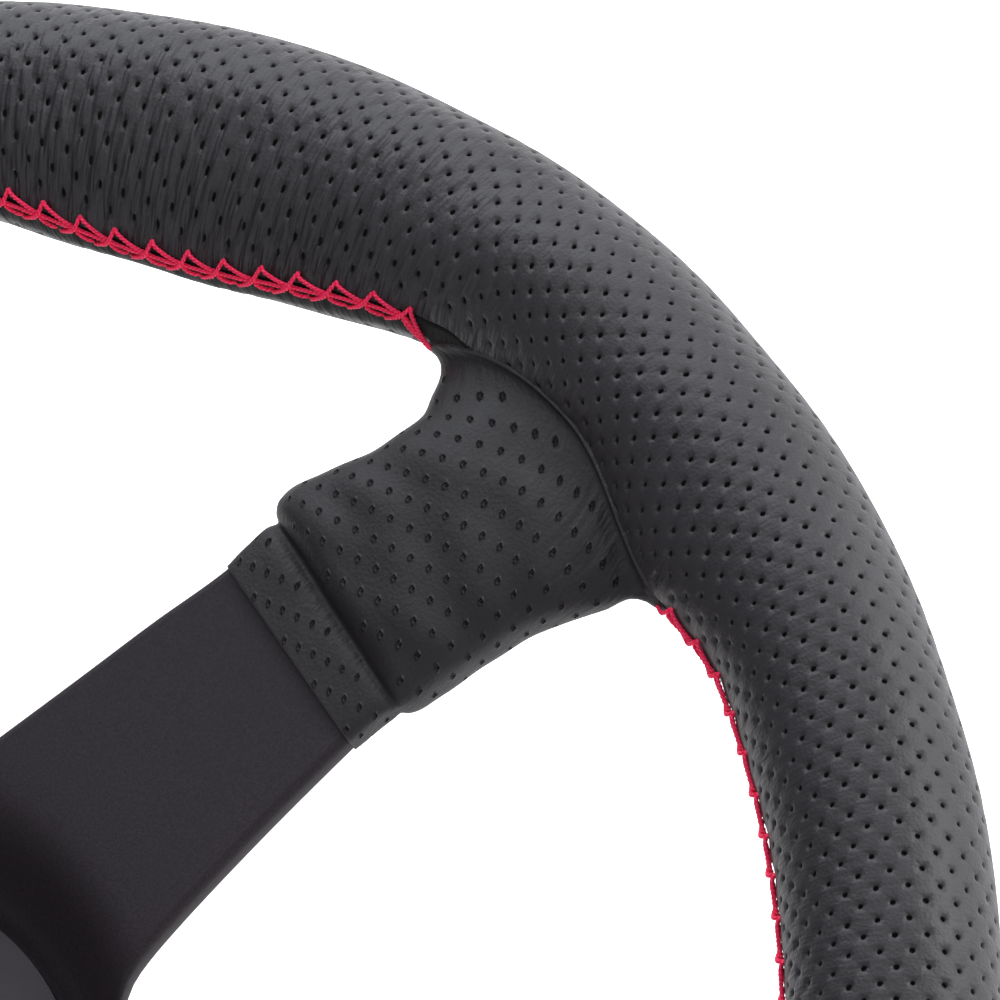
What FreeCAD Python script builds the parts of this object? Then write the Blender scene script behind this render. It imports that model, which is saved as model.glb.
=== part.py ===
"""Three-spoke sport steering wheel on a ball-lock quick release.

Frame: the origin is the centre of the column flange's mounting face, +Z runs
along the steering axis towards the driver, +X is the wheel's three o'clock and
+Y its twelve o'clock. Lengths are in millimetres, angles in degrees.
"""
import FreeCAD, Part
import math
import os

V = FreeCAD.Vector
ORIGIN = V(0, 0, 0)
Z_AXIS = V(0, 0, 1)

# Rim: an elliptical grip wrapped round a flat metal hoop
RIM_OUTER_R = 175.0
GRIP_HALF_WIDTH = 14.8
GRIP_HALF_DEPTH = 13.4
LEATHER = 1.2
RIM_MID_R = RIM_OUTER_R - GRIP_HALF_WIDTH
RIM_Z = 72.0
HOOP_INNER_R = 152.0
HOOP_OUTER_R = 166.0
HOOP_THICK = 3.0
RIVET_R = 2.0
RIVET_HEAD_R = 3.4
RIVET_HEAD_TALL = 1.2
RIVET_AT_R = 156.0
RIVET_AT_Y = 9.0

# Thumb rests: the grip bulges inwards above both side spokes
REST_ANGLE = 26.0
REST_HALF_SPAN = 20.0
REST_BULGE = 8.8
REST_UNDERSIZE = 0.3
REST_HALF_DEPTH = 11.4

# Spokes
SPOKE_ANGLES = {"right": 0.0, "left": 180.0, "lower": 270.0}
SPOKE_HALF_WIDTH = 17.1
SPOKE_END_R = 160.0
PLATE_THICK = 4.0
PLATE_HUB_R = 47.0
PLATE_BORE_R = 27.6
DISH_START_R = 43.0
DISH_END_R = 52.0
SPOKE_ROOT_X = 36.0
SPOKE_WAIST_X = 96.0
ROOT_HALF_WIDTH = 23.0

# Leather boots over the spoke ends
BOOT_CUT_X = (98.4, 93.6)
CREASE_X = (108.1, 102.0)
BOOT_RIM_X = 149.0
BOOT_KNEE_X = 119.0
BOOT_KNEE_FLARE = 1.2
PAD_HALF_THICK = 7.2
PAD_OVERHANG = 0.6
FLARES = {"right": (21.6, 33.4), "left": (33.4, 21.6), "lower": (28.0, 28.0)}

# Decorative seam round the inner side of the grip
SEAM_ANGLE = 190.0
SEAM_R = 0.9

# Stretches of rim as (start, sweep): the leather panels, and the seam between boots
PANELS = {"top": (0, 180), "left": (180, 90), "right": (270, 90)}
SEAMS = {"top": (10.5, 159), "left": (194.5, 63), "right": (282.5, 63)}

# Hub stack, measured along the steering axis
COLUMN_FLANGE_TOP = 8.0
STUB_TOP = 33.6
BARREL_LOW = 10.0
HUB_FLANGE_LOW = 48.0
HUB_FLANGE_TOP = 56.0
PLATE_TOP = HUB_FLANGE_TOP + PLATE_THICK
HORN_RING_TOP = PLATE_TOP + 2.5

# Bolt circle shared by the column flange, the hub and the plate
FLANGE_R = 42.0
BOLT_PCD = 70.0
BOLT_COUNT = 6
COLUMN_HOLE_R = 2.75
THREAD_R = 2.5
SHANK_R = 2.45
HORN_RING_R = 40.0
SCREW_HEAD_R = 4.6
SCREW_HEAD_TALL = 2.6
HEX_KEY_R = 1.7

# Splined stub and the barrel that slides over it
NUT_RECESS_R = 11.0
STUB_SEAT_R = 18.0
STUB_ROOT_R = 11.8
STUB_TIP_R = 13.3
TEETH = 12
TOOTH_WIDTH = 2.8
SPLINE_GAP = 0.1
BARREL_R = 17.5

# Ball lock
BALLS = 6
BALL_R = 3.0
BALL_Z = 28.5
BALL_LOCKED_R = 14.9
BALL_HOLE_R = 3.06
GROOVE_R = 3.1
CONE_SLOPE = 0.2

# Release collar, its circlip and its spring
COLLAR_R = 25.0
COLLAR_LOW = 16.0
COLLAR_TOP = 32.0
COLLAR_SKIRT_TOP = 39.0
COLLAR_BORE_R = 17.6
SKIRT_BORE_R = 23.0
GRIP_GROOVE = 1.6
CIRCLIP_LOW = 14.4
CIRCLIP_THICK = 1.5
CIRCLIP_GROOVE_R = 16.6
CIRCLIP_R = 20.0
COLLAR_WIRE_R = 0.7
COLLAR_SPRING_R = 20.2
COIL_TURNS = 3
LINK_SHARE = 0.9
SEAT_GAP = 0.04

# Horn push
CUP_R = 27.0
CUP_WALL = 1.6
CUP_LOW = 52.4
CUP_LIP_R = 30.5
CUP_LIP_TOP = 64.5
HORN_R = 24.8
HORN_LOW = 59.2
HORN_RIM_TOP = 65.6
HORN_CROWN = 2.4
HORN_POST_R = 4.0
HORN_WIRE_R = 0.6
HORN_SPRING_R = 8.0


def disc(radius, low, high):
    return Part.makeCylinder(radius, high - low, V(0, 0, low))


def washer(outer, inner, low, high):
    return disc(outer, low, high).cut(disc(inner, low - 1, high + 1))


def turned(shape, angle):
    copy = shape.copy()
    copy.rotate(ORIGIN, Z_AXIS, angle)
    return copy


def around(shape, count, start=0.0):
    return [turned(shape, start + k * 360.0 / count) for k in range(count)]


def lathe(points):
    """Revolve a closed (radius, height) outline round the steering axis."""
    corners = [V(r, 0, z) for r, z in points]
    face = Part.Face(Part.makePolygon(corners + corners[:1]))
    return face.revolve(ORIGIN, Z_AXIS, 360)


def hoop(radius, half_width, half_depth, height):
    """Elliptical ring centred on the steering axis."""
    centre = V(radius, 0, height)
    oval = Part.Ellipse(centre + V(half_width, 0, 0), centre + V(0, 0, half_depth), centre)
    face = Part.Face(Part.Wire(oval.toShape()))
    return face.revolve(ORIGIN, Z_AXIS, 360)


def thumb_rest(half_width, half_depth, angle, inset=0.0):
    """Flatter arc of the grip, bowed inwards between the ends of the rest."""
    half_chord = RIM_MID_R * math.sin(math.radians(REST_HALF_SPAN))
    sagitta = RIM_MID_R * (1 - math.cos(math.radians(REST_HALF_SPAN))) - REST_BULGE
    bow_r = (half_chord ** 2 + sagitta ** 2) / (2 * sagitta)
    half_turn = math.degrees(math.asin(half_chord / bow_r))
    pivot = V(RIM_MID_R - REST_BULGE - bow_r, 0, 0)
    centre = pivot + V(bow_r - inset, 0, RIM_Z)
    oval = Part.Ellipse(centre + V(half_width, 0, 0), centre + V(0, 0, half_depth), centre)
    face = Part.Face(Part.Wire(oval.toShape()))
    face.rotate(pivot, Z_AXIS, -half_turn)
    return turned(face.revolve(pivot, Z_AXIS, 2 * half_turn), angle)


def grip(growth):
    """Grip solid with its two thumb rests, grown outwards from the foam."""
    half_width = GRIP_HALF_WIDTH - LEATHER + growth
    half_depth = GRIP_HALF_DEPTH - LEATHER + growth
    body = hoop(RIM_MID_R, half_width, half_depth, RIM_Z)
    rest_width = half_width - REST_UNDERSIZE
    rest_depth = REST_HALF_DEPTH - LEATHER + growth
    rests = [thumb_rest(rest_width, rest_depth, angle) for angle in (REST_ANGLE, 180 - REST_ANGLE)]
    return body.fuse(rests)


def spoke_face():
    """Spoke outline at three o'clock, tapering from the hub to an even end."""
    half = [(SPOKE_ROOT_X, ROOT_HALF_WIDTH), (SPOKE_WAIST_X, SPOKE_HALF_WIDTH),
            (SPOKE_END_R, SPOKE_HALF_WIDTH)]
    corners = [V(x, y, 0) for x, y in half] + [V(x, -y, 0) for x, y in reversed(half)]
    return Part.Face(Part.makePolygon(corners + corners[:1]))


def spoke_outline():
    """Upright prism of the hub disc and the three spokes."""
    low = HUB_FLANGE_TOP - PLATE_THICK
    tall = RIM_Z + 2 * PLATE_THICK - low
    prism = spoke_face().extrude(V(0, 0, tall))
    prism.translate(V(0, 0, low))
    spokes = [turned(prism, angle) for angle in SPOKE_ANGLES.values()]
    return disc(PLATE_HUB_R, low, low + tall).fuse(spokes).removeSplitter()


def plate_underside():
    return RIM_Z - PLATE_THICK / 2


def spoke_plate():
    """Pressed plate, dished between the hub and the spokes."""
    low = plate_underside()
    top = low + PLATE_THICK
    slant = PLATE_THICK * math.tan(math.atan2(low - HUB_FLANGE_TOP, DISH_END_R - DISH_START_R) / 2)
    dish = lathe([
        (PLATE_BORE_R, HUB_FLANGE_TOP), (DISH_START_R, HUB_FLANGE_TOP),
        (DISH_END_R, low), (SPOKE_END_R, low), (SPOKE_END_R, top),
        (DISH_END_R - slant, top), (DISH_START_R - slant, PLATE_TOP), (PLATE_BORE_R, PLATE_TOP),
    ])
    plate = dish.common(spoke_outline()).removeSplitter()
    holes = around(Part.makeCylinder(COLUMN_HOLE_R, 12, V(BOLT_PCD / 2, 0, HUB_FLANGE_TOP - 4)), BOLT_COUNT, 30)
    return plate.cut(holes + rivet_holes())


def rivet_holes():
    """Pairs of holes through the spoke tips and the hoop."""
    low = plate_underside() - 1
    holes = []
    for side in (-RIVET_AT_Y, RIVET_AT_Y):
        hole = Part.makeCylinder(RIVET_R, PLATE_THICK + HOOP_THICK + 2, V(RIVET_AT_R, side, low))
        holes += [turned(hole, angle) for angle in SPOKE_ANGLES.values()]
    return holes


def spoke_rivets():
    low = plate_underside()
    rivets = []
    for side in (-RIVET_AT_Y, RIVET_AT_Y):
        shank = Part.makeCylinder(RIVET_R, PLATE_THICK + HOOP_THICK, V(RIVET_AT_R, side, low))
        heads = [Part.makeCylinder(RIVET_HEAD_R, RIVET_HEAD_TALL, V(RIVET_AT_R, side, z))
                 for z in (low - RIVET_HEAD_TALL, low + PLATE_THICK + HOOP_THICK)]
        rivet = shank.fuse(heads)
        rivets += [turned(rivet, angle) for angle in SPOKE_ANGLES.values()]
    return Part.makeCompound(rivets)


def rim_hoop():
    low = plate_underside() + PLATE_THICK
    return washer(HOOP_OUTER_R, HOOP_INNER_R, low, low + HOOP_THICK).cut(rivet_holes())


def foam_ring():
    return hoop(RIM_MID_R, GRIP_HALF_WIDTH - LEATHER, GRIP_HALF_DEPTH - LEATHER, RIM_Z)


def rim_foam(plate):
    """Moulded foam with a channel for the hoop and slots for the spokes."""
    low = plate_underside() - RIVET_HEAD_TALL
    high = plate_underside() + PLATE_THICK + HOOP_THICK + RIVET_HEAD_TALL
    return foam_ring().cut([plate, washer(HOOP_OUTER_R, HOOP_INNER_R, low, high)])


def thumb_rest_pad(angle, plate):
    """Crescent glued to the foam under the leather."""
    half_width = GRIP_HALF_WIDTH - LEATHER - REST_UNDERSIZE
    pad = thumb_rest(half_width, REST_HALF_DEPTH - LEATHER, angle).cut([foam_ring(), plate])
    return max(pad.Solids, key=lambda solid: solid.Volume)


def boot_face(flares, grow, cut_x):
    """Boot outline at three o'clock: straight over the spoke, flared at the rim."""
    half = SPOKE_HALF_WIDTH + grow
    start, knee, rim = [], [], []
    for side, flare, cut in ((1, flares[0], cut_x[0]), (-1, flares[1], cut_x[1])):
        start.append(V(cut, side * half, 0))
        knee.append(V(BOOT_KNEE_X, side * (half + BOOT_KNEE_FLARE), 0))
        rim.append(V(BOOT_RIM_X, side * (flare + grow), 0))
    edges = [
        Part.makeLine(start[1], start[0]),
        Part.makeLine(start[0], knee[0]),
        Part.makeLine(knee[0], rim[0]),
        Part.makeLine(rim[0], rim[1]),
        Part.makeLine(rim[1], knee[1]),
        Part.makeLine(knee[1], start[1]),
    ]
    return Part.Face(Part.Wire(edges))


def boot_block(name, grow, cut_x, half_thick):
    face = boot_face(FLARES[name], grow, cut_x)
    block = face.extrude(V(0, 0, 2 * half_thick))
    block.translate(V(0, 0, RIM_Z - half_thick))
    return turned(block, SPOKE_ANGLES[name])


def mirrored_cut(name, pair):
    """Boot edge for a spoke: slanted on the side spokes, square on the lower one."""
    mean = sum(pair) / 2
    return {"right": pair, "left": (pair[1], pair[0]), "lower": (mean, mean)}[name]


def pad_block(name):
    """Padding and the spoke inside it, before the spoke is taken out."""
    front = [x + LEATHER for x in CREASE_X]
    return boot_block(name, PAD_OVERHANG, mirrored_cut(name, front), PAD_HALF_THICK - LEATHER)


def boot_pad(name, plate, outer_grip):
    return pad_block(name).cut([plate, outer_grip])


def spoke_boot(name, plate, outer_grip):
    """Leather sleeve: a flat strap on the plate, then the padded part."""
    strap = boot_block(name, LEATHER, mirrored_cut(name, BOOT_CUT_X), PLATE_THICK / 2 + LEATHER)
    padded = boot_block(name, PAD_OVERHANG + LEATHER, mirrored_cut(name, CREASE_X), PAD_HALF_THICK)
    return strap.fuse(padded).cut([plate, pad_block(name), outer_grip])


def seam_ring(outer):
    """Raised stitched seam round the inner side, as one thin ring."""
    turn = math.radians(SEAM_ANGLE)
    radius = RIM_MID_R + GRIP_HALF_WIDTH * math.cos(turn)
    height = RIM_Z + GRIP_HALF_DEPTH * math.sin(turn)
    on_rests = [thumb_rest(SEAM_R, SEAM_R, angle, GRIP_HALF_WIDTH - REST_UNDERSIZE)
                for angle in (REST_ANGLE, 180 - REST_ANGLE)]
    return hoop(radius, SEAM_R, SEAM_R, height).fuse(on_rests).cut(outer)


def wedge(start, sweep):
    """Sector that holds one stretch of the rim."""
    tall = 4 * GRIP_HALF_DEPTH
    block = Part.makeCylinder(RIM_OUTER_R + LEATHER, tall, V(0, 0, RIM_Z - tall / 2), Z_AXIS, sweep)
    return turned(block, start)


def column_flange():
    holes = around(Part.makeCylinder(COLUMN_HOLE_R, 20, V(BOLT_PCD / 2, 0, -5)), BOLT_COUNT, 30)
    flange = washer(FLANGE_R, STUB_SEAT_R, 0, COLUMN_FLANGE_TOP)
    return flange.cut(holes)


def spline(root_r, tip_r, tooth_width, low, high):
    tooth = Part.makeBox(tip_r, tooth_width, high - low, V(0, -tooth_width / 2, low))
    teeth = [t.common(disc(tip_r, low, high)) for t in around(tooth, TEETH, 15)]
    return disc(root_r, low, high).fuse(teeth).removeSplitter()


def column_stub():
    seat = disc(STUB_SEAT_R, 0, COLUMN_FLANGE_TOP)
    stub = seat.fuse(spline(STUB_ROOT_R, STUB_TIP_R, TOOTH_WIDTH, COLUMN_FLANGE_TOP, STUB_TOP))
    groove = Part.makeTorus(BALL_LOCKED_R, GROOVE_R, V(0, 0, BALL_Z))
    return stub.cut([groove, disc(NUT_RECESS_R, -1, COLUMN_FLANGE_TOP)])


def ball_hole(radius):
    return Part.makeCylinder(radius, BARREL_R, V(0, 0, BALL_Z), V(1, 0, 0))


def quick_release_hub():
    barrel = disc(BARREL_R, BARREL_LOW, HUB_FLANGE_LOW)
    flange = disc(FLANGE_R, HUB_FLANGE_LOW, HUB_FLANGE_TOP)
    bore = spline(STUB_ROOT_R + SPLINE_GAP, STUB_TIP_R + SPLINE_GAP,
                  TOOTH_WIDTH + 2 * SPLINE_GAP, BARREL_LOW - 1, HUB_FLANGE_LOW + 2)
    cup_seat = disc(CUP_R + 0.2, CUP_LOW - 0.4, HUB_FLANGE_TOP + 1)
    threads = around(Part.makeCylinder(THREAD_R, 20, V(BOLT_PCD / 2, 0, HUB_FLANGE_LOW - 6)), BOLT_COUNT, 30)
    groove = washer(BARREL_R + 1, CIRCLIP_GROOVE_R, CIRCLIP_LOW - 0.1, CIRCLIP_LOW + CIRCLIP_THICK + 0.1)
    wire_hole = disc(STUB_ROOT_R, HUB_FLANGE_LOW, CUP_LOW)
    cuts = [bore, cup_seat, groove, wire_hole] + threads + around(ball_hole(BALL_HOLE_R), BALLS)
    return barrel.fuse(flange).cut(cuts)


def collar_circlip():
    clip = washer(CIRCLIP_R, CIRCLIP_GROOVE_R, CIRCLIP_LOW, CIRCLIP_LOW + CIRCLIP_THICK)
    gap = Part.makeBox(8, 7, 6, V(CIRCLIP_GROOVE_R - 2, -3.5, CIRCLIP_LOW - 2))
    return clip.cut(turned(gap, 90))


def release_collar():
    """Knurled sleeve whose inner cone holds the balls in."""
    contact_r = BALL_LOCKED_R + BALL_R / math.cos(math.atan(CONE_SLOPE)) + 0.05
    mouth_r = contact_r + CONE_SLOPE * (BALL_Z - COLLAR_LOW)
    neck_z = BALL_Z + (contact_r - COLLAR_BORE_R) / CONE_SLOPE
    sleeve = lathe([
        (mouth_r, COLLAR_LOW), (COLLAR_R - 1, COLLAR_LOW), (COLLAR_R, COLLAR_LOW + 1),
        (COLLAR_R, COLLAR_SKIRT_TOP - 1), (COLLAR_R - 1, COLLAR_SKIRT_TOP),
        (SKIRT_BORE_R, COLLAR_SKIRT_TOP), (SKIRT_BORE_R, COLLAR_TOP),
        (COLLAR_BORE_R, COLLAR_TOP), (COLLAR_BORE_R, neck_z),
    ])
    groove = lathe([
        (COLLAR_R + 1, COLLAR_LOW + 3), (COLLAR_R - GRIP_GROOVE, COLLAR_LOW + 6),
        (COLLAR_R - GRIP_GROOVE, COLLAR_TOP - 4), (COLLAR_R + 1, COLLAR_TOP - 1),
    ])
    return sleeve.cut(groove)


def coil(radius, wire_r, turns, low, high):
    """Coil spring as a stack of closed rings joined by upright links."""
    gap = (high - low - 2 * wire_r) / turns
    rings = [Part.makeTorus(radius, wire_r, V(0, 0, low + wire_r + k * gap)) for k in range(turns + 1)]
    links = []
    for k in range(turns):
        foot = V(radius, 0, low + wire_r + k * gap)
        links.append(turned(Part.makeCylinder(wire_r * LINK_SHARE, gap, foot), 180.0 * k))
    return rings[0].fuse(rings[1:] + links)


def horn_ring():
    ring = washer(HORN_RING_R, CUP_R + 0.4, PLATE_TOP, HORN_RING_TOP)
    holes = around(Part.makeCylinder(COLUMN_HOLE_R, 8, V(BOLT_PCD / 2, 0, PLATE_TOP - 2)), BOLT_COUNT, 30)
    return ring.cut(holes)


def hub_screws():
    """Six button-head screws through ring and plate into the hub."""
    shank_low = HUB_FLANGE_LOW + 1
    centre = V(BOLT_PCD / 2, 0, 0)
    shank = Part.makeCylinder(SHANK_R, HORN_RING_TOP - shank_low, centre + V(0, 0, shank_low))
    head = Part.makeCylinder(SCREW_HEAD_R, SCREW_HEAD_TALL, centre + V(0, 0, HORN_RING_TOP))
    head = head.makeFillet(1.6, [head.Edges[0]])
    key = Part.makeCylinder(HEX_KEY_R, 5, centre + V(0, 0, HORN_RING_TOP + 1))
    return Part.makeCompound(around(shank.fuse(head).cut(key), BOLT_COUNT, 30))


def horn_cup():
    return lathe([
        (HORN_POST_R + 0.6, CUP_LOW), (CUP_R, CUP_LOW), (CUP_R, HORN_RING_TOP),
        (CUP_LIP_R, HORN_RING_TOP), (CUP_LIP_R, CUP_LIP_TOP - 0.6),
        (CUP_LIP_R - 0.6, CUP_LIP_TOP), (CUP_R - CUP_WALL, CUP_LIP_TOP),
        (CUP_R - CUP_WALL, CUP_LOW + CUP_WALL), (HORN_POST_R + 0.6, CUP_LOW + CUP_WALL),
    ])


def horn_button():
    """Shallow domed push with a guide post."""
    dome_r = (HORN_R ** 2 + HORN_CROWN ** 2) / (2 * HORN_CROWN)
    dome = Part.makeSphere(dome_r, V(0, 0, HORN_RIM_TOP + HORN_CROWN - dome_r))
    push = disc(HORN_R, HORN_LOW, HORN_RIM_TOP + HORN_CROWN).common(dome)
    return push.fuse(disc(HORN_POST_R, CUP_LOW - 1, HORN_LOW))


def horn_contact():
    low = CUP_LOW + CUP_WALL
    return washer(14.0, 10.0, low, low + 0.8)


def build():
    """Every separate piece, by the name of its node."""
    plate = spoke_plate()
    foam_grip, outer_grip = grip(0.0), grip(LEATHER)
    skin = outer_grip.cut(foam_grip).cut(plate)
    seam = seam_ring(outer_grip)
    pieces = {
        "column_flange": column_flange(),
        "column_stub": column_stub(),
        "quick_release_hub": quick_release_hub(),
        "collar_circlip": collar_circlip(),
        "release_collar": release_collar(),
        "collar_spring": coil(COLLAR_SPRING_R, COLLAR_WIRE_R, COIL_TURNS,
                              COLLAR_TOP + SEAT_GAP, HUB_FLANGE_LOW - SEAT_GAP),
        "spoke_plate": plate,
        "rim_hoop": rim_hoop(),
        "spoke_rivets": spoke_rivets(),
        "rim_foam": rim_foam(plate),
        "thumb_rest_right": thumb_rest_pad(REST_ANGLE, plate),
        "thumb_rest_left": thumb_rest_pad(180 - REST_ANGLE, plate),
        "hub_screws": hub_screws(),
        "horn_ring": horn_ring(),
        "horn_cup": horn_cup(),
        "horn_button": horn_button(),
        "horn_contact": horn_contact(),
        "horn_spring": coil(HORN_SPRING_R, HORN_WIRE_R, COIL_TURNS,
                            CUP_LOW + CUP_WALL + SEAT_GAP, HORN_LOW - SEAT_GAP),
    }
    ball = Part.makeSphere(BALL_R, V(BALL_LOCKED_R, 0, BALL_Z))
    for k, shape in enumerate(around(ball, BALLS)):
        pieces["lock_ball_%d" % (k + 1)] = shape
    for name in PANELS:
        pieces["rim_leather_" + name] = skin.common(wedge(*PANELS[name]))
        pieces["seam_thread_" + name] = seam.common(wedge(*SEAMS[name]))
    for name in SPOKE_ANGLES:
        pieces["boot_pad_" + name] = boot_pad(name, plate, outer_grip)
        pieces["spoke_boot_" + name] = spoke_boot(name, plate, outer_grip)
    return pieces


os.makedirs("parts", exist_ok=True)
for node, shape in build().items():
    shape.exportStep("parts/%s.step" % node)
    print(node, shape.isValid(), len(shape.Solids), round(shape.Volume, 1))
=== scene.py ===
import math
import random

import bpy
import numpy as np
from mathutils import Matrix, Vector, geometry


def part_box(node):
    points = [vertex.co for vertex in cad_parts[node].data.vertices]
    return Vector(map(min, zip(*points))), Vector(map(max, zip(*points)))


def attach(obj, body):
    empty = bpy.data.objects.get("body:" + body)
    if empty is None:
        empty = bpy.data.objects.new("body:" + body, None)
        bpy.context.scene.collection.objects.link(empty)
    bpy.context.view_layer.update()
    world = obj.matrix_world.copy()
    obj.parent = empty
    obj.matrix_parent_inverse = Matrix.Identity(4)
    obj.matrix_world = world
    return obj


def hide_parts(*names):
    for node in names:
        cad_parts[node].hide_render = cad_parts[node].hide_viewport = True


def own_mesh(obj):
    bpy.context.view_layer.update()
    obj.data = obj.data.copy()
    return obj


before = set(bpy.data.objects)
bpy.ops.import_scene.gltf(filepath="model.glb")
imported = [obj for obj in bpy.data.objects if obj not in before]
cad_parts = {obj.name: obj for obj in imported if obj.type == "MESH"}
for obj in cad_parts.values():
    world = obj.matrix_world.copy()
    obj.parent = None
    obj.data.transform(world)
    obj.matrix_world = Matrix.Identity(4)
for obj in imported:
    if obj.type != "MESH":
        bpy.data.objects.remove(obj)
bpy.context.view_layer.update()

MM = 0.001
TURN = 2 * math.pi
random.seed(7)
NOISE = np.random.default_rng(7)

# ---------------------------------------------------------------- sizes from the frame
GRIP_LOW, GRIP_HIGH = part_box("rim_leather_top")
RIM_OUTER = GRIP_HIGH.x
RIM_Z = (GRIP_LOW.z + GRIP_HIGH.z) / 2
GRIP_D = (GRIP_HIGH.z - GRIP_LOW.z) / 2
GRIP_W = 14.8 * MM
RIM_MID = RIM_OUTER - GRIP_W
GRIP_ROUND = (GRIP_W + GRIP_D) / 2
PLATE_LOW, PLATE_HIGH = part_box("spoke_plate")
PLATE_THICK = 4 * MM

REST_ANGLE = math.radians(26)
REST_SPAN = math.radians(26)
REST_BULGE = 8.8 * MM
CORNER_AT = math.radians(11.5)
CORNER_SPAN = math.radians(9.5)
CORNER_BULGE = 3.4 * MM
SEAM_ANGLE = math.radians(190)
SEAM_RISE = math.radians(33)
SEAM_SAG = math.radians(9)
SEAM_FLAT = math.radians(17)
SEAM_LIFT = math.radians(17)
LIFT_ANGLE = math.radians(25)
SEAM_FADE = math.radians(13)
SEAM_GAP = 0.45 * MM / GRIP_ROUND
SPOKES = {"right": 0.0, "left": math.pi, "lower": -math.pi / 2}


# ---------------------------------------------------------------- camera, light and floor
def make_camera():
    target = Vector((132.7 * MM, -4.4 * MM, RIM_Z))
    back = Vector((-0.0631, -0.4960, 0.8660)).normalized()
    up = Vector((0.67921, 0.61443, 0.40143))
    right = up.cross(back).normalized()
    up = back.cross(right)
    data = bpy.data.cameras.new("camera")
    data.sensor_width = 36
    data.lens = 280.5
    data.clip_start = 0.05
    data.clip_end = 20
    camera = bpy.data.objects.new("camera", data)
    spin = Matrix((right, up, back)).transposed()
    camera.matrix_world = Matrix.Translation(target + back * 1.1) @ spin.to_4x4()
    bpy.context.scene.collection.objects.link(camera)
    bpy.context.scene.camera = camera


def area_light(name, at, aim, size, watts, colour=(1, 1, 1)):
    data = bpy.data.lights.new(name, "AREA")
    data.shape = "RECTANGLE"
    data.size, data.size_y = size
    data.energy = watts
    data.color = colour
    lamp = bpy.data.objects.new(name, data)
    lamp.location = at
    lamp.rotation_euler = (Vector(aim) - Vector(at)).to_track_quat("-Z", "Y").to_euler()
    bpy.context.scene.collection.objects.link(lamp)


def make_lights():
    world = bpy.data.worlds.new("studio")
    world.use_nodes = True
    sky = world.node_tree.nodes["Background"]
    sky.inputs["Color"].default_value = (0.95, 0.97, 1.0, 1)
    sky.inputs["Strength"].default_value = 0.16
    bpy.context.scene.world = world
    centre = (0.1, 0, RIM_Z)
    area_light("back_softbox", (0.75, 0.95, 0.75), centre, (1.4, 0.9), 17, (0.90, 0.95, 1.0))
    area_light("top_softbox", (0.35, 0.1, 1.5), centre, (1.1, 1.1), 3.6)
    area_light("right_softbox", (1.35, -0.35, 0.6), centre, (0.9, 0.7), 16)
    area_light("left_fill", (-1.0, -0.35, 0.85), centre, (0.9, 0.9), 4)
    area_light("edge_strip", (0.25, -1.25, 0.75), centre, (1.2, 0.35), 4, (0.90, 0.95, 1.0))


def make_floor():
    size = 6.0
    bpy.ops.mesh.primitive_plane_add(size=size, location=(0, 0, 0))
    floor = bpy.context.object
    floor.name = "floor"
    floor.data.materials.append(floor_material())


# ---------------------------------------------------------------- node helpers
class Nodes:
    """A material's node tree, with short calls to add and link nodes."""

    def __init__(self, name):
        self.material = bpy.data.materials.new(name)
        self.material.use_nodes = True
        self.tree = self.material.node_tree
        self.shader = self.tree.nodes["Principled BSDF"]

    def add(self, kind, inputs=None, **settings):
        node = self.tree.nodes.new(kind)
        for key, value in settings.items():
            setattr(node, key, value)
        for key, value in (inputs or {}).items():
            if isinstance(value, bpy.types.NodeSocket):
                self.tree.links.new(value, node.inputs[key])
            else:
                node.inputs[key].default_value = value
        return node

    def set(self, **values):
        for key, value in values.items():
            socket = self.shader.inputs[key.replace("_", " ")]
            if isinstance(value, bpy.types.NodeSocket):
                self.tree.links.new(value, socket)
            else:
                socket.default_value = value

    def objects_at(self):
        return self.add("ShaderNodeTexCoord").outputs["Object"]

    def attribute(self, name, output="Fac"):
        return self.add("ShaderNodeAttribute", attribute_name=name).outputs[output]

    def scaled(self, vector, factors):
        node = self.add("ShaderNodeVectorMath", operation="MULTIPLY")
        self.tree.links.new(vector, node.inputs[0])
        node.inputs[1].default_value = factors
        return node.outputs[0]

    def noise(self, vector, scale, detail=2.0, rough=0.5):
        inputs = {"Vector": vector, "Scale": scale, "Detail": detail, "Roughness": rough}
        return self.add("ShaderNodeTexNoise", inputs).outputs["Fac"]

    def cells(self, vector, scale):
        inputs = {"Vector": vector, "Scale": scale}
        return self.add("ShaderNodeTexVoronoi", inputs).outputs["Distance"]

    def span(self, value, low, high, from_low=0.0, from_high=1.0):
        inputs = {"Value": value, "From Min": from_low, "From Max": from_high,
                  "To Min": low, "To Max": high}
        return self.add("ShaderNodeMapRange", inputs).outputs["Result"]

    def maths(self, operation, first, second):
        node = self.add("ShaderNodeMath", operation=operation)
        for socket, value in zip(node.inputs, (first, second)):
            if isinstance(value, bpy.types.NodeSocket):
                self.tree.links.new(value, socket)
            else:
                socket.default_value = value
        return node.outputs[0]

    def blend(self, share, first, second):
        node = self.add("ShaderNodeMix", data_type="RGBA")
        for key, value in (("Factor", share), ("A", first), ("B", second)):
            socket = [s for s in node.inputs if s.name == key and s.enabled][0]
            if isinstance(value, bpy.types.NodeSocket):
                self.tree.links.new(value, socket)
            else:
                socket.default_value = value
        return [s for s in node.outputs if s.enabled][0]

    def bump(self, height, strength, distance, under=None):
        inputs = {"Height": height, "Strength": strength, "Distance": distance}
        if under is not None:
            inputs["Normal"] = under
        return self.add("ShaderNodeBump", inputs).outputs["Normal"]


def grey(level):
    return (level, level, level, 1)


# ---------------------------------------------------------------- materials
def floor_material():
    n = Nodes("floor_white")
    mottle = n.noise(n.objects_at(), 2.0)
    n.set(Base_Color=n.blend(mottle, grey(0.93), grey(0.96)), Roughness=0.9)
    n.set(Emission_Color=(1, 1, 1, 1), Emission_Strength=1.0)
    return n.material


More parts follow.
